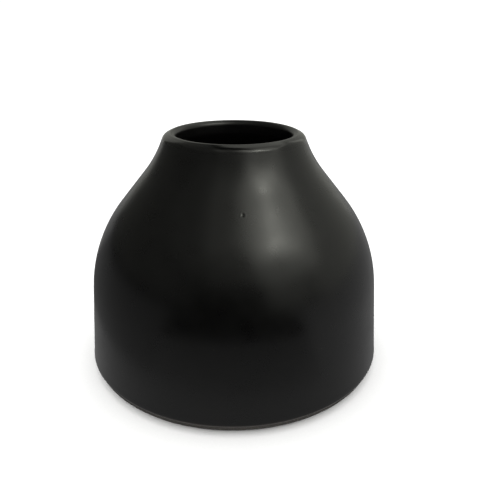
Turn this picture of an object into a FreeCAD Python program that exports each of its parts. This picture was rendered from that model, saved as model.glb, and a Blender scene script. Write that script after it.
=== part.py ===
import FreeCAD, Part

import math
import os

import Sketcher

# An empty candle jar: a wide, low stoneware vessel with a slightly flared wall, a round shoulder, a short
# concave neck and a narrow mouth. The fired clay is one shell, and three glaze coats are fused to it: the
# outer coat, the liner and the coat inside the foot ring. Millimetres, +Z up, origin at the middle of the
# foot, on the surface that the jar stands on.

SIZES = {
    # foot
    "footRadius": 48.0,  # outer edge of the flat foot ring
    "footRound": 3.8,  # bare clay round between the foot ring and the wall
    "footInner": 40.0,  # inner edge of the flat foot ring
    "recessRadius": 38.8,  # flat top of the recess inside the foot ring
    "recessDepth": 1.2,
    # outer surface, set out by the centres and radii of its arcs, which straight runs join
    "shoulderAxis": 0.75,  # radius of the shoulder arc's centre
    "shoulderLevel": 26.45,  # height of the shoulder arc's centre
    "shoulderRadius": 49.3,
    "neckAxis": 62.5,
    "neckLevel": 94.4,
    "neckRadius": 41.5,
    # lip
    "overallHeight": 81.5,
    "mouthRadius": 19.2,
    "lipLevel": 78.6,  # height of the outer lip round's centre
    "lipOuterRound": 2.65,
    "lipInnerRound": 1.7,
    # inside
    "wallThickness": 5.2,  # clay and both coats
    "throatRound": 3.0,
    "floorLevel": 6.6,
    "floorRadius": 38.0,  # radius of the floor corner's centre
    "floorRound": 8.0,
    # glaze
    "glazeThickness": 0.4,
    "glazeLine": 3.3,  # height where the outer coat stops above the foot
}

TOUCHING = 1e-6  # outline nodes nearer than this need no straight run between them
ORIGIN = (-1, 1)
LEVEL_AXIS = -1
UPRIGHT_AXIS = -2


class Size:
    """A number with the sheet expression it comes from; without one, the sketch solver finds it."""

    def __init__(self, value, text=None):
        self.value = value
        self.text = text

    def __add__(self, other):
        return Size(self.value + other.value, f"({self.text} + {other.text})")

    def __sub__(self, other):
        return Size(self.value - other.value, f"({self.text} - {other.text})")


class Arc:
    """A round of an outline, by its centre and radius. The outline turns left round it, or right."""

    def __init__(self, across, up, radius, turn):
        self.across = across
        self.up = up
        self.radius = radius
        self.signed = turn * radius.value
        self.corner = False


class Corner:
    """A sharp corner of an outline."""

    def __init__(self, across, up):
        self.across = across
        self.up = up
        self.signed = 0.0
        self.corner = True


LEFT = 1
RIGHT = -1
ZERO = Size(0.0, "0")

doc = FreeCAD.newDocument("candle_jar")
sheet = doc.addObject("Spreadsheet::Sheet", "sizes")
for row, (name, value) in enumerate(SIZES.items(), start=1):
    sheet.set(f"A{row}", name)
    sheet.set(f"B{row}", str(value))
    sheet.setAlias(f"B{row}", name)
doc.recompute()


def size(name):
    return Size(float(sheet.get(name)), f"sizes.{name}")


def beside(centre, reach, rise=None, run=None):
    """The unknown coordinate of a point that lies reach from centre, to its left or below it."""
    across, up = centre
    if run is None:
        return across - math.sqrt(reach**2 - rise**2)
    return up - math.sqrt(reach**2 - run**2)


# Every surface of the vessel, each as the arcs of its outline from the foot up over the lip and down to the
# floor. A coat's thickness moves a surface into the wall: left turns tighten and right turns open out.


def outer_arcs(depth):
    """The outside from the foot to the lip, this depth under the glazed surface."""
    neck_centre = (size("neckAxis"), size("neckLevel"))
    lip_reach = SIZES["neckRadius"] + SIZES["lipOuterRound"]
    lip_rise = SIZES["neckLevel"] - SIZES["lipLevel"]
    lip_across = Size(beside((SIZES["neckAxis"], SIZES["neckLevel"]), lip_reach, rise=lip_rise))
    return [
        Arc(size("footRadius"), size("footRound"), size("footRound") + size("glazeThickness") - depth, LEFT),
        Arc(size("shoulderAxis"), size("shoulderLevel"), size("shoulderRadius") - depth, LEFT),
        Arc(*neck_centre, size("neckRadius") + depth, RIGHT),
        Arc(lip_across, size("lipLevel"), size("lipOuterRound") - depth, LEFT),
    ]


def crest_arc(depth):
    """The inner lip round, whose top is the crest of the lip."""
    inner_round = size("lipInnerRound")
    across = size("mouthRadius") + inner_round
    return Arc(across, size("overallHeight") - inner_round, inner_round - depth, LEFT)


def inner_arcs(depth):
    """The inside from the throat to the floor, this depth under the glazed surface."""
    wall = size("wallThickness")
    throat_across = size("mouthRadius") + size("throatRound")
    throat_reach = SIZES["neckRadius"] + SIZES["wallThickness"] - SIZES["throatRound"]
    throat_run = SIZES["neckAxis"] - throat_across.value
    throat_up = Size(beside((SIZES["neckAxis"], SIZES["neckLevel"]), throat_reach, run=throat_run))
    return [
        Arc(throat_across, throat_up, size("throatRound") - depth, LEFT),
        Arc(size("neckAxis"), size("neckLevel"), size("neckRadius") + wall - depth, LEFT),
        Arc(size("shoulderAxis"), size("shoulderLevel"), size("shoulderRadius") - wall + depth, RIGHT),
        Arc(size("floorRadius"), size("floorLevel") + size("floorRound"), size("floorRound") + depth, RIGHT),
    ]


def reverse(nodes):
    """The same nodes walked the other way, so that left turns become right turns."""
    backwards = []
    for node in reversed(nodes):
        if node.corner:
            backwards.append(node)
        else:
            backwards.append(Arc(node.across, node.up, node.radius, RIGHT if node.signed > 0 else LEFT))
    return backwards


def run_between(a, b):
    """The straight run that touches two nodes: its start, its end and its heading."""
    ahead = b.across.value - a.across.value
    rise = b.up.value - a.up.value
    shift = b.signed - a.signed
    length = math.sqrt(max(ahead**2 + rise**2 - shift**2, 0.0))
    heading = math.atan2(rise, ahead) - math.atan2(shift, length)
    left = FreeCAD.Vector(-math.sin(heading), math.cos(heading), 0)
    start = FreeCAD.Vector(a.across.value, a.up.value, 0) - left * a.signed
    end = FreeCAD.Vector(b.across.value, b.up.value, 0) - left * b.signed
    return start, end, heading


def bind(sketch, constraint, label, text):
    index = sketch.addConstraint(constraint)
    sketch.renameConstraint(index, label)
    sketch.setExpression(f"Constraints.{label}", text)


def place(sketch, node, label, element, point):
    """Ties a node's point to the sketch axes or to the sizes in the sheet, where it has them."""
    for direction, coordinate, axis in (("X", node.across, UPRIGHT_AXIS), ("Y", node.up, LEVEL_AXIS)):
        if coordinate is ZERO:
            sketch.addConstraint(Sketcher.Constraint("PointOnObject", element, point, axis))
        elif coordinate.text:
            distance = Sketcher.Constraint(f"Distance{direction}", *ORIGIN, element, point, coordinate.value)
            bind(sketch, distance, f"{label}{direction}", coordinate.text)


def draw_outline(sketch, nodes):
    """Draws the closed outline through the nodes, with tangent joints at the arcs."""
    runs = [run_between(a, b) for a, b in zip(nodes, nodes[1:] + nodes[:1])]
    strokes = []  # element, its start point, its end point, node at its start, node at its end
    for i, node in enumerate(nodes):
        start, end, heading = runs[i]
        if not node.corner:
            heading_in = runs[i - 1][2]
            low, high = sorted_angles(heading_in, heading, node.signed)
            centre = FreeCAD.Vector(node.across.value, node.up.value, 0)
            circle = Part.Circle(centre, FreeCAD.Vector(0, 0, 1), node.radius.value)
            element = sketch.addGeometry(Part.ArcOfCircle(circle, low, high))
            points = (1, 2) if node.signed > 0 else (2, 1)
            strokes.append((element, *points, node, node))
            place(sketch, node, f"centre{i}", element, 3)
            radius = Sketcher.Constraint("Radius", element, node.radius.value)
            bind(sketch, radius, f"radius{i}", node.radius.text)
        if (end - start).Length > TOUCHING:
            element = sketch.addGeometry(Part.LineSegment(start, end))
            strokes.append((element, 1, 2, node, nodes[(i + 1) % len(nodes)]))
    for i, (element, start_point, _, node, _) in enumerate(strokes):
        before, _, end_point, _, node_before = strokes[i - 1]
        corner = next((n for n in (node, node_before) if n.corner), None)
        kind = "Coincident" if corner else "Tangent"
        sketch.addConstraint(Sketcher.Constraint(kind, before, end_point, element, start_point))
        if corner:
            place(sketch, corner, f"corner{i}", element, start_point)


def sorted_angles(heading_in, heading_out, signed):
    """The start and end angles of an arc, counter-clockwise, from the headings before and after it."""
    quarter = math.pi / 2
    if signed > 0:
        low, high = heading_in - quarter, heading_out - quarter
    else:
        low, high = heading_out + quarter, heading_in + quarter
    while high <= low:
        high += 2 * math.pi
    while high - low > 2 * math.pi:
        high -= 2 * math.pi
    return low, high


def turned_piece(name, nodes):
    """A sub-part of its own: the outline turned a full circle about the jar's axis."""
    body = doc.addObject("PartDesign::Body", name)
    body.Label = name
    sketch = body.newObject("Sketcher::SketchObject", f"{name}_profile")
    upright = next(o for o in body.Origin.OriginFeatures if o.Role == "XZ_Plane")
    sketch.AttachmentSupport = [(upright, "")]
    sketch.MapMode = "FlatFace"
    draw_outline(sketch, nodes)
    turn = body.newObject("PartDesign::Revolution", f"{name}_turn")
    turn.Profile = sketch
    turn.ReferenceAxis = (sketch, ["V_Axis"])
    turn.Angle = 360
    sketch.Visibility = False
    body.Placement = FreeCAD.Placement()
    return body


glaze = size("glazeThickness")
crest_across = size("mouthRadius") + size("lipInnerRound")
crest_up = size("overallHeight")


def on_foot_round(depth):
    """Where the glaze line crosses the foot round; the solver finds its radius."""
    foot = outer_arcs(depth)[0]
    drop = foot.up.value - SIZES["glazeLine"]
    across = foot.across.value + math.sqrt(foot.radius.value**2 - drop**2)
    return Corner(Size(across), size("glazeLine"))


def on_crest(depth):
    """The top of the lip; its height follows from the round it lies on."""
    return Corner(crest_across, Size(crest_up.value - depth.value))


def stoneware_body():
    """The fired clay shell, with a bare foot ring round a shallow recess."""
    return turned_piece("stoneware_body", [
        Corner(ZERO, size("recessDepth")),
        Corner(size("recessRadius"), size("recessDepth")),
        Corner(size("footInner"), ZERO),
        *outer_arcs(glaze),
        crest_arc(glaze),
        *inner_arcs(glaze),
        Corner(ZERO, size("floorLevel") - glaze),
    ])


def outer_glaze():
    """The satin black coat on the outside, from just above the foot to the crest of the lip."""
    surface = [on_foot_round(ZERO), *outer_arcs(ZERO), crest_arc(ZERO), on_crest(ZERO)]
    clay = [on_foot_round(glaze), *outer_arcs(glaze), crest_arc(glaze), on_crest(glaze)]
    return turned_piece("outer_glaze", surface + reverse(clay))


def liner_glaze():
    """The gloss black coat inside, from the crest of the lip down to the floor."""
    surface = [on_crest(ZERO), crest_arc(ZERO), *inner_arcs(ZERO), Corner(ZERO, size("floorLevel"))]
    clay = [on_crest(glaze), crest_arc(glaze), *inner_arcs(glaze), Corner(ZERO, size("floorLevel") - glaze)]
    return turned_piece("liner_glaze", surface + reverse(clay))


def base_glaze():
    """The coat inside the foot ring, clear of the surface that the jar stands on."""
    return turned_piece("base_glaze", [
        Corner(ZERO, size("recessDepth") - glaze),
        Corner(size("recessRadius") - glaze, size("recessDepth") - glaze),
        Corner(size("recessRadius"), size("recessDepth")),
        Corner(ZERO, size("recessDepth")),
    ])


pieces = [stoneware_body(), outer_glaze(), liner_glaze(), base_glaze()]
doc.recompute()

for item in doc.Objects:
    if "Invalid" in item.State or "Error" in item.State:
        raise RuntimeError(f"{item.Name} failed: {item.State}")
    if item.isDerivedFrom("Sketcher::SketchObject") and not item.FullyConstrained:
        raise RuntimeError(f"{item.Name} is not fully constrained")
for piece in pieces:
    if piece.Shape.isNull() or not piece.Shape.isValid():
        raise RuntimeError(f"{piece.Label} has no valid shape")

os.makedirs("parts", exist_ok=True)
for piece in pieces:
    piece.Shape.exportStep(f"parts/{piece.Label}.step")
    box = piece.Shape.optimalBoundingBox()
    print(f"{piece.Label}: {box.XLength:.2f} x {box.YLength:.2f} x {box.ZLength:.2f} mm,",
          f"z from {box.ZMin:.2f}, {piece.Shape.Volume / 1000:.2f} cm3, {len(piece.Shape.Solids)} solid")
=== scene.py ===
import math

import bmesh
import bpy
from mathutils import Euler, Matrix, Quaternion, Vector, noise


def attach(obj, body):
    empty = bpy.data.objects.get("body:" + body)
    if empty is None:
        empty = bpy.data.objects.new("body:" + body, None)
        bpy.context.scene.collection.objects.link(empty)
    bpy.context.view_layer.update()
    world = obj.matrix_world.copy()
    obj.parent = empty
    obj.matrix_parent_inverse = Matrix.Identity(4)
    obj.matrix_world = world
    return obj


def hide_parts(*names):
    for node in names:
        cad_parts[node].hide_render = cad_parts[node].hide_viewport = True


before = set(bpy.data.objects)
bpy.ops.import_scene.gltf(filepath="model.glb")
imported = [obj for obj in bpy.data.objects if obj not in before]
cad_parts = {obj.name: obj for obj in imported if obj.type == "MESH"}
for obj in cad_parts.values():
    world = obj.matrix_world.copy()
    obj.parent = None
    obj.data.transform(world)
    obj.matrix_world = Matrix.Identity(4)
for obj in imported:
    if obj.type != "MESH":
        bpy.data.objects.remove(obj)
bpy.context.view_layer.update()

mm = 0.001


def hexColour(text):
    # sRGB hex to the linear colour that a shader takes
    channels = [int(text[i:i + 2], 16) / 255 for i in (0, 2, 4)]
    linear = [c / 12.92 if c <= 0.04045 else ((c + 0.055) / 1.055) ** 2.4 for c in channels]
    return (*linear, 1.0)


def addNode(tree, kind, values=None, links=None, **settings):
    node = tree.nodes.new(kind)
    for name, value in settings.items():
        setattr(node, name, value)
    for socket, value in (values or {}).items():
        node.inputs[socket].default_value = value
    for socket, source in (links or {}).items():
        tree.links.new(source, node.inputs[socket])
    return node


def newMaterial(name):
    material = bpy.data.materials.new(name)
    material.use_nodes = True
    tree = material.node_tree
    tree.nodes.clear()
    surface = addNode(tree, "ShaderNodeBsdfPrincipled")
    addNode(tree, "ShaderNodeOutputMaterial", links={"Surface": surface.outputs["BSDF"]})
    place = addNode(tree, "ShaderNodeTexCoord").outputs["Object"]
    return material, tree, surface, place


def smoothStep(t):
    t = min(max(t, 0.0), 1.0)
    return t * t * (3 - 2 * t)


# The arcs that the wall is set out from, in millimetres: how far out the centre is, how high, and the radius.
# The straight runs between them touch both arcs.
jar = {
    "foot": (48.0, 3.8, 3.8),
    "shoulder": (0.75, 26.45, 49.3),
    "neck": (62.5, 94.4, 41.5),
    "lipLevel": 78.6,
    "lipOuterRound": 2.65,
    "lipInnerRound": 1.7,
    "height": 81.5,
    "mouthRadius": 19.2,
    "wall": 5.2,
    "throatRound": 3.0,
    "floorLevel": 6.6,
    "floorCorner": (38.0, 8.0),
    "footInner": 40.0,
    "recessRadius": 38.8,
    "recessDepth": 1.2,
    "edgeRound": 0.35,
    "glaze": 0.4,
    "glazeLine": 3.3,
    "segments": 240,
    "arcStep": 3.0,  # degrees
    "runStep": 1.4,
}

# How far the jar is from perfectly round, as a cast and hand-finished piece is, in millimetres
handwork = {
    "oval": 0.09,
    "ovalTurn": 0.7,  # radians
    "threeLobe": 0.05,
    "lobeTurn": -0.4,
    "firmBelow": 3.0,  # the foot stays true, and the form loosens over looseOver above it
    "looseOver": 20.0,
    "lipWave": 0.07,
    "lipFrom": 60.0,  # the lip's wave sets in above this
    "glazeFlow": 0.035,  # swell of the glaze where it ran thicker
    "glazeFlowSize": 13.0,
    "edgeWaver": 0.22,  # rise and fall of the glaze line at the foot
    "edgeRoll": 0.7,
    "edgeBead": 0.09,
    "beadFrom": 1.1,  # how far from the edge the bead stands highest
    "beadWidth": 0.6,
    "sharpEdge": 40,  # degrees; gentler corners are shaded smooth
}


def corner(out, up):
    return (out, up, 0.0)


def outerArcs(depth):
    footOut, footUp, footRadius = jar["foot"]
    shoulderOut, shoulderUp, shoulderRadius = jar["shoulder"]
    neckOut, neckUp, neckRadius = jar["neck"]
    lipRound, lipUp = jar["lipOuterRound"], jar["lipLevel"]
    lipOut = neckOut - math.sqrt((neckRadius + lipRound) ** 2 - (neckUp - lipUp) ** 2)
    return [
        (footOut, footUp, footRadius + jar["glaze"] - depth),
        (shoulderOut, shoulderUp, shoulderRadius - depth),
        (neckOut, neckUp, -neckRadius - depth),
        (lipOut, lipUp, lipRound - depth),
    ]


def crestAndInnerArcs(depth):
    shoulderOut, shoulderUp, shoulderRadius = jar["shoulder"]
    neckOut, neckUp, neckRadius = jar["neck"]
    cornerOut, cornerRadius = jar["floorCorner"]
    crestRound, throatRound, wall = jar["lipInnerRound"], jar["throatRound"], jar["wall"]
    throatOut = jar["mouthRadius"] + throatRound
    throatUp = neckUp - math.sqrt((neckRadius + wall - throatRound) ** 2 - (neckOut - throatOut) ** 2)
    return [
        (jar["mouthRadius"] + crestRound, jar["height"] - crestRound, crestRound - depth),
        (throatOut, throatUp, throatRound - depth),
        (neckOut, neckUp, neckRadius + wall - depth),
        (shoulderOut, shoulderUp, wall - shoulderRadius - depth),
        (cornerOut, jar["floorLevel"] + cornerRadius, -cornerRadius - depth),
        corner(0.0, jar["floorLevel"] - depth),
    ]


def runBetween(a, b):
    # the straight run that touches two arcs
    ahead, rise, shift = b[0] - a[0], b[1] - a[1], b[2] - a[2]
    length = math.sqrt(max(ahead**2 + rise**2 - shift**2, 0.0))
    heading = math.atan2(rise, ahead) - math.atan2(shift, length)
    left = Vector((-math.sin(heading), math.cos(heading)))
    return Vector(a[:2]) - left * a[2], Vector(b[:2]) - left * b[2], heading


def walk(arcs, headingIn):
    # (point, heading) all along an open chain of arcs and runs
    steps = []
    for i, (out, up, radius) in enumerate(arcs):
        last = i + 1 == len(arcs)
        start, end, heading = (None, None, headingIn) if last else runBetween(arcs[i], arcs[i + 1])
        turn = (heading - headingIn + math.pi) % math.tau - math.pi
        count = max(2, math.ceil(abs(math.degrees(turn)) / jar["arcStep"])) if radius else 0
        for k in range(count + 1):
            angle = headingIn + turn * k / max(count, 1)
            steps.append((Vector((out + radius * math.sin(angle), up - radius * math.cos(angle))), angle))
        if not last:
            count = round((end - start).length / jar["runStep"])
            steps += [(start.lerp(end, k / count), heading) for k in range(1, count)]
            headingIn = heading
    kept = [steps[0]]
    for step in steps[1:]:
        if (step[0] - kept[-1][0]).length > 0.01:
            kept.append(step)
    return kept


# The clay's outline under the glaze, from the sole of the foot over the crest to the middle of the floor
clay = walk(outerArcs(jar["glaze"]) + crestAndInnerArcs(jar["glaze"]), 0.0)
crestOut = jar["mouthRadius"] + jar["lipInnerRound"]
crestIndex = next(i for i, (point, heading) in enumerate(clay) if point.x < crestOut)
crestStep = (Vector((crestOut, jar["height"] - jar["glaze"])), math.pi)
footOut, footUp, footRadius = jar["foot"]
edgeHeading = math.acos((footUp - jar["glazeLine"]) / (footRadius + jar["glaze"]))
edgePoint = Vector((footOut + footRadius * math.sin(edgeHeading),
                    footUp - footRadius * math.cos(edgeHeading)))
edgeStep = (edgePoint, edgeHeading)
print("outline:", len(clay), "points")


def coat(steps, edgeAtStart):
    # a skin of glaze on a stretch of the clay: its face, then its back in reverse
    face, along = [], 0.0
    for i, (point, heading) in enumerate(steps):
        if i:
            along += (point - steps[i - 1][0]).length
        thick = jar["glaze"]
        if edgeAtStart:
            roll = min(along / handwork["edgeRoll"], 1.0)
            thick *= math.sqrt(1 - (1 - roll) ** 2)
            bead = math.exp(-((along - handwork["beadFrom"]) / handwork["beadWidth"]) ** 2)
            thick += handwork["edgeBead"] * bead * roll
        face.append(point + Vector((math.sin(heading), -math.cos(heading))) * thick)
    back = [point for point, heading in reversed(steps)]
    return face + (back[:-1] if edgeAtStart else back)


def settled(out, up, angle):
    # where a point of the turned form really lies, in metres
    direction = Vector((math.cos(angle), math.sin(angle), 0.0))
    if up < footUp + 2.0 and out > jar["footInner"] + 2.0:
        # the glaze line wavers along the foot round
        arm = Vector((out - footOut, up - footUp))
        heading = math.atan2(arm.x, -arm.y)
        fade = smoothStep(heading / edgeHeading) * (1 - smoothStep((heading - edgeHeading) / 0.6))
        waver = handwork["edgeWaver"] * noise.noise(direction * 2.3 + Vector((0, 0, 5))) / footRadius * fade
        out = footOut + arm.length * math.sin(heading + waver)
        up = footUp - arm.length * math.cos(heading + waver)
    rise = smoothStep((up - handwork["firmBelow"]) / handwork["looseOver"]) * min(out / 15.0, 1.0)
    out += rise * handwork["oval"] * math.cos(2 * (angle - handwork["ovalTurn"]))
    out += rise * handwork["threeLobe"] * math.cos(3 * (angle - handwork["lobeTurn"]))
    lip = smoothStep((up - handwork["lipFrom"]) / handwork["looseOver"])
    spot = direction * out + Vector((0, 0, up))
    out += rise * handwork["glazeFlow"] * noise.noise(spot / handwork["glazeFlowSize"])
    up += lip * handwork["lipWave"] * noise.noise(direction * 1.6 + Vector((3, 0, 0)))
    return (direction * out + Vector((0, 0, up))) * mm


def turnPiece(name, profile, closed, material, node, pits=()):
    # turns a profile round the axis; each vertex keeps its place along the profile, u, and its angle, so that
    # a pit's patch can be cut finer
    bm = bmesh.new()
    uLayer = bm.verts.layers.float.new("u")
    angleLayer = bm.verts.layers.float.new("angle")
    count = jar["segments"]
    rings = []
    for u, point in enumerate(profile):
        ring = []
        for k in range(count if point.x > 0.01 else 1):
            vertex = bm.verts.new(settled(point.x, point.y, math.tau * k / count))
            vertex[uLayer], vertex[angleLayer] = u, math.tau * k / count
            ring.append(vertex)
        rings.append(ring)
    for a, b in zip(rings, rings[1:] + ([rings[0]] if closed else [])):
        for k in range(count):
            around = [a[k % len(a)], a[(k + 1) % len(a)], b[(k + 1) % len(b)], b[k % len(b)]]
            around = [v for i, v in enumerate(around) if v not in around[:i]]
            if len(around) > 2:
                bm.faces.new(around)
    for pit in pits:
        sinkPit(bm, profile, pit, uLayer, angleLayer)
    bmesh.ops.recalc_face_normals(bm, faces=bm.faces[:])
    for face in bm.faces:
        face.smooth = True
    for edge in bm.edges:
        edge.smooth = edge.calc_face_angle(0.0) < math.radians(handwork["sharpEdge"])
    bm.verts.layers.float.remove(uLayer)
    bm.verts.layers.float.remove(bm.verts.layers.float["angle"])
    mesh = bpy.data.meshes.new(name)
    bm.to_mesh(mesh)
    bm.free()
    mesh.materials.append(material)
    piece = bpy.data.objects.new(name, mesh)
    bpy.context.scene.collection.objects.link(piece)
    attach(piece, "root")
    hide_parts(node)
    print(name, len(mesh.polygons), "faces")
    return piece


# A pinhole is a smooth dent with a slightly raised ring, both in shares of the pinhole's own size
pinhole = {
    "reach": 3.5,
    "steepness": 1.6,
    "ringHeight": 0.16,
    "ringRadius": 1.45,
    "ringWidth": 0.4,
}


def sinkPit(bm, profile, pit, uLayer, angleLayer):
    # a burst bubble in the glaze: the face round it is cut finer, then each vertex is set on the curve and
    # dented
    angle, level, radius, depth = pit
    faceEnd = len(profile) // 2 - 4  # past this the profile nears the crest and turns to the coat's back
    nearest = min(range(faceEnd), key=lambda i: abs(profile[i].y - level))
    centre = settled(profile[nearest].x, profile[nearest].y, angle)
    reach = pinhole["reach"] * radius * mm
    for cut in range(2):
        close = [f for f in bm.faces if (f.calc_center_median() - centre).length < reach + 0.6 * mm
                 and all(v[uLayer] < faceEnd for v in f.verts)]
        edges = list({e for f in close for e in f.edges})
        bmesh.ops.subdivide_edges(bm, edges=edges, cuts=1, use_grid_fill=True)
    for v in bm.verts:
        far = (v.co - centre).length
        if far > reach + 2 * mm or v[uLayer] > faceEnd:
            continue
        u, turn = v[uLayer], v[angleLayer]
        i = min(max(int(u), 1), len(profile) - 3)
        t = u - i
        p0, p1, p2, p3 = profile[i - 1:i + 3]
        point = 0.5 * (2 * p1 + (p2 - p0) * t + (2 * p0 - 5 * p1 + 4 * p2 - p3) * t**2
                       + (3 * p1 - p0 - 3 * p2 + p3) * t**3)
        place = settled(point.x, point.y, turn)
        away = (place - centre).length / (radius * mm)
        ring = math.exp(-((away - pinhole["ringRadius"]) / pinhole["ringWidth"]) ** 2)
        dent = depth * (pinhole["ringHeight"] * ring - math.exp(-away**2 * pinhole["steepness"]))
        along = (p2 - p1).normalized()
        outward = Vector((along.y * math.cos(turn), along.y * math.sin(turn), -along.x))
        v.co = place + outward * dent * mm


# Satin black glaze: an iron glaze fired until it goes half matt. It looks near black, with a soft wide
# highlight and a faint mottle, and it thins to brown just above the bare foot.
satinGlaze = {
    "dark": "030303",
    "light": "080807",
    "thin": "3e3833",
    "thinFrom": 3.2,  # millimetres above the ground
    "thinTo": 4.4,
    "thinFloor": 2.0,  # the coat under the foot lies below this and stays black
    "speck": "262420",
    "roughness": 0.29,
    "roughnessSpread": 0.05,
    "crestRoughness": 0.16,  # thinner and glossier over the lip
    "crestFrom": 78.6,  # millimetres above the ground
    "crestTo": 80.8,
    "ior": 1.5,
    "mottleSize": 6.0,
    "peelSize": 2.4,
    "peelDepth": 0.004,
    "grainSize": 0.9,  # the real crystals are under 0.1 mm: drawn coarser so that they show
    "grainDepth": 0.0006,
    "speckSpacing": 6.0,
    "speckRadius": 0.16,
    "speckCut": 0.62,  # the higher, the fewer cells have a speck
}


def makeSatinGlaze(look):
    material, tree, surface, place = newMaterial("satinBlackGlaze")
    surface.inputs["IOR"].default_value = look["ior"]
    height = addNode(tree, "ShaderNodeSeparateXYZ", links={"Vector": place}).outputs["Z"]
    mottle = addNode(tree, "ShaderNodeTexNoise", {"Scale": 1 / (look["mottleSize"] * mm), "Detail": 5.0},
                     {"Vector": place}).outputs["Fac"]
    body = addNode(tree, "ShaderNodeMix", {6: hexColour(look["dark"]), 7: hexColour(look["light"])},
                   {0: mottle}, data_type="RGBA").outputs[2]
    thin = addNode(tree, "ShaderNodeMapRange",
                   {"From Min": look["thinFrom"] * mm, "From Max": look["thinTo"] * mm, "To Min": 0.8,
                    "To Max": 0.0},
                   {"Value": height}, interpolation_type="SMOOTHSTEP").outputs["Result"]
    aboveFoot = addNode(tree, "ShaderNodeMath", {1: look["thinFloor"] * mm}, {0: height},
                        operation="GREATER_THAN").outputs[0]
    thin = addNode(tree, "ShaderNodeMath", None, {0: thin, 1: aboveFoot}, operation="MULTIPLY").outputs[0]
    body = addNode(tree, "ShaderNodeMix", {7: hexColour(look["thin"])}, {0: thin, 6: body},
                   data_type="RGBA").outputs[2]
    # sparse iron specks: some of the cells have a dot at their heart
    cells = addNode(tree, "ShaderNodeTexVoronoi", {"Scale": 1 / (look["speckSpacing"] * mm)},
                    {"Vector": place})
    dot = look["speckRadius"] / look["speckSpacing"]
    near = addNode(tree, "ShaderNodeMapRange",
                   {"From Min": 0.6 * dot, "From Max": 1.4 * dot, "To Min": 1.0, "To Max": 0.0},
                   {"Value": cells.outputs["Distance"]}).outputs["Result"]
    chosen = addNode(tree, "ShaderNodeMath", {1: look["speckCut"]}, {0: cells.outputs["Color"]},
                     operation="GREATER_THAN").outputs[0]
    speck = addNode(tree, "ShaderNodeMath", None, {0: near, 1: chosen}, operation="MULTIPLY").outputs[0]
    body = addNode(tree, "ShaderNodeMix", {7: hexColour(look["speck"])}, {0: speck, 6: body},
                   data_type="RGBA").outputs[2]
    tree.links.new(body, surface.inputs["Base Color"])

    crest = addNode(tree, "ShaderNodeMapRange",
                    {"From Min": look["crestFrom"] * mm, "From Max": look["crestTo"] * mm,
                     "To Min": look["roughness"], "To Max": look["crestRoughness"]},
                    {"Value": height}, interpolation_type="SMOOTHSTEP").outputs["Result"]
    uneven = addNode(tree, "ShaderNodeMapRange",
                     {"From Min": 0.3, "From Max": 0.7, "To Min": -look["roughnessSpread"] / 2,
                      "To Max": look["roughnessSpread"] / 2}, {"Value": mottle}).outputs["Result"]
    rough = addNode(tree, "ShaderNodeMath", None, {0: crest, 1: uneven}, operation="ADD").outputs[0]
    tree.links.new(rough, surface.inputs["Roughness"])

    peel = addNode(tree, "ShaderNodeTexNoise", {"Scale": 1 / (look["peelSize"] * mm)}, {"Vector": place})
    soft = addNode(tree, "ShaderNodeBump", {"Distance": look["peelDepth"] * mm},
                   {"Height": peel.outputs["Fac"]}).outputs["Normal"]
    grain = addNode(tree, "ShaderNodeTexNoise", {"Scale": 1 / (look["grainSize"] * mm), "Detail": 3.0},
                    {"Vector": place})
    fine = addNode(tree, "ShaderNodeBump", {"Distance": look["grainDepth"] * mm},
                   {"Height": grain.outputs["Fac"], "Normal": soft}).outputs["Normal"]
    tree.links.new(fine, surface.inputs["Normal"])
    return material


# Gloss liner glaze, poured inside so that the clay holds liquid: the same black fired a little smoother, with
# a sheen that fades quickly down the throat.
linerGlaze = {
    "dark": "030303",
    "light": "080707",
    "roughness": 0.32,
    "roughnessSpread": 0.04,
    "ior": 1.52,
    "mottleSize": 9.0,
    "peelSize": 3.5,
    "peelDepth": 0.008,
}


def makeLinerGlaze(look):
    material, tree, surface, place = newMaterial("glossBlackLiner")
    surface.inputs["IOR"].default_value = look["ior"]
    mottle = addNode(tree, "ShaderNodeTexNoise", {"Scale": 1 / (look["mottleSize"] * mm), "Detail": 4.0},
                     {"Vector": place}).outputs["Fac"]
    body = addNode(tree, "ShaderNodeMix", {6: hexColour(look["dark"]), 7: hexColour(look["light"])},
                   {0: mottle}, data_type="RGBA").outputs[2]
    tree.links.new(body, surface.inputs["Base Color"])
    rough = addNode(tree, "ShaderNodeMapRange",
                    {"From Min": 0.3, "From Max": 0.7,
                     "To Min": look["roughness"] - look["roughnessSpread"] / 2,
                     "To Max": look["roughness"] + look["roughnessSpread"] / 2},
                    {"Value": mottle}).outputs["Result"]
    tree.links.new(rough, surface.inputs["Roughness"])
    peel = addNode(tree, "ShaderNodeTexNoise", {"Scale": 1 / (look["peelSize"] * mm)}, {"Vector": place})
    soft = addNode(tree, "ShaderNodeBump", {"Distance": look["peelDepth"] * mm},
                   {"Height": peel.outputs["Fac"]}).outputs["Normal"]
    tree.links.new(soft, surface.inputs["Normal"])
    return material


# Bare stoneware, dark-bodied, turned and sponged: dry and matt, with fine sandy grog and a warm cast.
bareStoneware = {
    "dark": "22201e",
    "light": "3a3733",
    "grog": "625c53",
    "roughness": 0.86,
    "roughnessSpread": 0.1,
    "ior": 1.45,
    "cloudSize": 5.0,
    "grogSize": 0.6,
    "grogDepth": 0.03,
}


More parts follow.
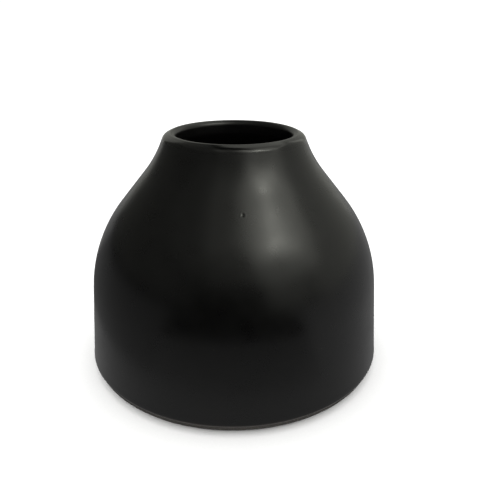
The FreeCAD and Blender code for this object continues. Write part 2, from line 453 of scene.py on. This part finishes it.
def makeBareStoneware(look):
    material, tree, surface, place = newMaterial("bareStoneware")
    surface.inputs["IOR"].default_value = look["ior"]
    cloud = addNode(tree, "ShaderNodeTexNoise", {"Scale": 1 / (look["cloudSize"] * mm), "Detail": 6.0},
                    {"Vector": place}).outputs["Fac"]
    body = addNode(tree, "ShaderNodeMix", {6: hexColour(look["dark"]), 7: hexColour(look["light"])},
                   {0: cloud}, data_type="RGBA").outputs[2]
    grit = addNode(tree, "ShaderNodeTexVoronoi", {"Scale": 1 / (look["grogSize"] * mm)}, {"Vector": place})
    pale = addNode(tree, "ShaderNodeMapRange",
                   {"From Min": 0.1, "From Max": 0.35, "To Min": 0.5, "To Max": 0.0},
                   {"Value": grit.outputs["Distance"]}).outputs["Result"]
    body = addNode(tree, "ShaderNodeMix", {7: hexColour(look["grog"])}, {0: pale, 6: body},
                   data_type="RGBA").outputs[2]
    tree.links.new(body, surface.inputs["Base Color"])
    rough = addNode(tree, "ShaderNodeMapRange",
                    {"From Min": 0.3, "From Max": 0.7,
                     "To Min": look["roughness"] - look["roughnessSpread"] / 2,
                     "To Max": look["roughness"] + look["roughnessSpread"] / 2},
                    {"Value": cloud}).outputs["Result"]
    tree.links.new(rough, surface.inputs["Roughness"])
    sand = addNode(tree, "ShaderNodeBump", {"Distance": look["grogDepth"] * mm, "Strength": 0.8},
                   {"Height": grit.outputs["Distance"]}).outputs["Normal"]
    tree.links.new(sand, surface.inputs["Normal"])
    return material


satinBlack = makeSatinGlaze(satinGlaze)
glossLiner = makeLinerGlaze(linerGlaze)
dryClay = makeBareStoneware(bareStoneware)
print("materials made")

# Pinholes and specks in the outer glaze: angle round the jar, level, radius and depth in millimetres
pits = [
    (math.radians(-86.0), 64.0, 0.5, 0.15),
    (math.radians(-138.0), 64.0, 0.35, 0.15),
    (math.radians(-113.0), 54.5, 0.35, 0.15),
    (math.radians(28.0), 41.0, 0.4, 0.18),
    (math.radians(118.0), 30.0, 0.45, 0.2),
]

foot, recess, depth = jar["footInner"], jar["recessRadius"], jar["recessDepth"]
edge = jar["edgeRound"]
underside = walk([corner(0.0, depth), (recess - edge, depth - edge, -edge), (foot + edge, edge, edge)] +
                 [outerArcs(jar["glaze"])[0]], 0.0)
clayProfile = [point for point, heading in underside] + [point for point, heading in clay[1:]]
turnPiece("clayBody", clayProfile, False, dryClay, "stoneware_body")

outside = [edgeStep] + [step for step in clay[:crestIndex] if step[0].y > edgeStep[0].y + 0.02] + [crestStep]
turnPiece("outerCoat", coat(outside, True), True, satinBlack, "outer_glaze", pits)

inside = [crestStep] + clay[crestIndex:]
turnPiece("linerCoat", coat(inside, False), False, glossLiner, "liner_glaze")

# the glaze under the foot: a thin pool with a rounded rim, lying in the recess
skin = jar["glaze"]
pool = [Vector((0.0, depth - skin))]
pool += [Vector((recess - skin + skin * math.sin(a), depth - skin * math.cos(a)))
         for a in [math.radians(15 * k) for k in range(7)]]
pool += [Vector((0.0, depth))]
turnPiece("baseCoat", pool, False, satinBlack, "base_glaze")


# Studio: white paper under even light, one softbox high on the right with its spill and a strip beside it,
# and weak broad panels for the ceiling and walls, brighter on the right than on the left. The panels and the
# glowing cards on the floor show only in the glaze. The cards are a painted reflection of the floor with
# painted
# shade: grey near the foot, dark in front and dimmer to the left.
# Azimuth 0 is the camera's side and 90 the jar's right; brightness 1 is the white of the paper.
studio = {
    "aim": (0.0, 0.0, 45.0),
    "distance": 0.9,
    # azimuth, elevation, tilt, width and height in degrees, brightness
    "panels": {
        "softbox": (50, 44, -20, 26, 12, 3.0),
        "softboxBulb": (48, 50, 0, 10, 10, 5.0),
        "softboxSpill": (50, 46, 0, 50, 48, 0.7),
        "sideStrip": (28, 52, 0, 10, 34, 0.8),
        "rightCeiling": (120, 62, 0, 70, 34, 0.8),
        "frontCeiling": (0, 62, 0, 40, 30, 0.3),
        "leftCeiling": (-90, 61, 0, 90, 34, 0.15),
        "rightWall": (105, 24, 0, 80, 48, 0.45),
        "rightFrontWall": (42, 14, 0, 34, 24, 0.35),
        "backWall": (180, 20, 0, 80, 44, 0.4),
        "frontWall": (0, 34, 0, 44, 26, 0.2),
        "leftWall": (-85, 25, 0, 100, 40, 0.1),
    },
    # glowing cards seen only in the glaze: a painted reflection of the floor, with painted shade near the
    # foot, in front and to the left
    # start and end azimuth, inner and outer radius in metres, brightness
    "cards": {
        "nearCard": (0, 360, 0.0, 0.08, 0.3),
        "frontCard": (-45, 45, 0.08, 0.13, 0.2),
        "farFrontCard": (-45, 45, 0.13, 5.7, 0.0),
        "rightCard": (45, 135, 0.08, 5.7, 0.3),
        "leftCard": (-135, -45, 0.08, 5.7, 0.15),
        "backCard": (135, 225, 0.08, 5.7, 0.35),
    },
    "lampColour": "fefff4",
    "fill": 1.5,
    "backdrop": 1.06,
    "roomInGlaze": 0.0,
}


def towards(azimuth, elevation):
    a, e = math.radians(azimuth), math.radians(elevation)
    return Vector((math.sin(a) * math.cos(e), -math.cos(a) * math.cos(e), math.sin(e)))


def onlyInGlaze(thing):
    thing.visible_camera = False
    thing.visible_diffuse = False
    thing.visible_shadow = False


def hangPanel(name, azimuth, elevation, tilt, width, height, brightness):
    light = bpy.data.lights.new(name, "AREA")
    light.shape = "RECTANGLE"
    far = studio["distance"]
    light.size = 2 * far * math.tan(math.radians(width / 2))
    light.size_y = 2 * far * math.tan(math.radians(height / 2))
    light.energy = brightness * math.pi * light.size * light.size_y
    light.color = hexColour(studio["lampColour"])[:3]
    lamp = bpy.data.objects.new(name, light)
    bpy.context.scene.collection.objects.link(lamp)
    direction = towards(azimuth, elevation)
    lamp.location = Vector(studio["aim"]) * mm + direction * far
    lamp.rotation_mode = "QUATERNION"
    facing = (-direction).to_track_quat("-Z", "Y")
    lamp.rotation_quaternion = facing @ Quaternion((0, 0, 1), math.radians(tilt))
    onlyInGlaze(lamp)


def layReflectionCard(name, start, end, inner, outer, brightness):
    # a glowing card on the floor, seen only in the glaze: it paints the floor's reflection there, dimmed as
    # painted shade
    material = bpy.data.materials.new(name)
    material.use_nodes = True
    tree = material.node_tree
    tree.nodes.clear()
    # the card's glow is the painted reflection of the floor; a low brightness is painted shade
    glow = addNode(tree, "ShaderNodeEmission", {"Strength": brightness})
    addNode(tree, "ShaderNodeOutputMaterial", links={"Surface": glow.outputs[0]})
    bm = bmesh.new()
    count = (end - start) // 5
    rows = [[bm.verts.new(towards(start + (end - start) * k / count, 0) * radius + Vector((0, 0, 0.05 * mm)))
             for radius in (inner, outer) if radius] for k in range(count + 1)]
    heart = [] if inner else [bm.verts.new((0, 0, 0.05 * mm))]
    for a, b in zip(rows, rows[1:]):
        bm.faces.new(heart + a + b[::-1])
    mesh = bpy.data.meshes.new(name)
    bm.to_mesh(mesh)
    bm.free()
    mesh.materials.append(material)
    card = bpy.data.objects.new(name, mesh)
    bpy.context.scene.collection.objects.link(card)
    onlyInGlaze(card)


for name, panel in studio["panels"].items():
    hangPanel(name, *panel)
for name, card in studio["cards"].items():
    layReflectionCard(name, *card)

world = bpy.data.worlds.new("whiteStudio")
bpy.context.scene.world = world
world.use_nodes = True
air = world.node_tree
air.nodes.clear()
rays = addNode(air, "ShaderNodeLightPath")
white = hexColour("ffffff")
fill = addNode(air, "ShaderNodeBackground", {"Color": white, "Strength": studio["fill"]})
room = addNode(air, "ShaderNodeBackground", {"Color": white, "Strength": studio["roomInGlaze"]})
backdrop = addNode(air, "ShaderNodeBackground", {"Color": white, "Strength": studio["backdrop"]})
lit = addNode(air, "ShaderNodeMixShader", None,
              {0: rays.outputs["Is Glossy Ray"], 1: fill.outputs[0], 2: room.outputs[0]})
seen = addNode(air, "ShaderNodeMixShader", None,
               {0: rays.outputs["Is Camera Ray"], 1: lit.outputs[0], 2: backdrop.outputs[0]})
addNode(air, "ShaderNodeOutputWorld", links={"Surface": seen.outputs[0]})


def laySweep():
    # the white paper that the jar stands on
    material, tree, surface, place = newMaterial("mattWhitePaper")
    fibre = addNode(tree, "ShaderNodeTexNoise", {"Scale": 1 / (0.8 * mm), "Detail": 3.0},
                    {"Vector": place}).outputs["Fac"]
    tone = addNode(tree, "ShaderNodeMix", {6: hexColour("f6f6f5"), 7: hexColour("fdfdfc")}, {0: fibre},
                   data_type="RGBA").outputs[2]
    tree.links.new(tone, surface.inputs["Base Color"])
    surface.inputs["Roughness"].default_value = 0.95
    surface.inputs["Specular IOR Level"].default_value = 0.0
    bm = bmesh.new()
    bmesh.ops.create_grid(bm, x_segments=16, y_segments=16, size=4.0)
    mesh = bpy.data.meshes.new("sweep")
    bm.to_mesh(mesh)
    bm.free()
    mesh.materials.append(material)
    sweep = bpy.data.objects.new("sweep", mesh)
    bpy.context.scene.collection.objects.link(sweep)


laySweep()

# The camera stands close by and a little above the jar, looking slightly to its right
camera = {
    "place": (0.0, -184.0, 117.0),
    "pitch": 23.0,
    "yaw": 1.7,
    "roll": 0.4,
    "lens": 40.0,
}
lens = bpy.data.cameras.new("camera")
lens.lens = camera["lens"]
lens.sensor_width = 36.0
lens.clip_start = 0.01
eye = bpy.data.objects.new("camera", lens)
eye.location = Vector(camera["place"]) * mm
aim = Euler((math.radians(90 - camera["pitch"]), 0.0, math.radians(-camera["yaw"]))).to_quaternion()
eye.rotation_mode = "QUATERNION"
eye.rotation_quaternion = aim @ Quaternion((0, 0, 1), math.radians(camera["roll"]))
bpy.context.scene.collection.objects.link(eye)
bpy.context.scene.camera = eye
bpy.context.scene.view_settings.view_transform = "Standard"
print("studio set")
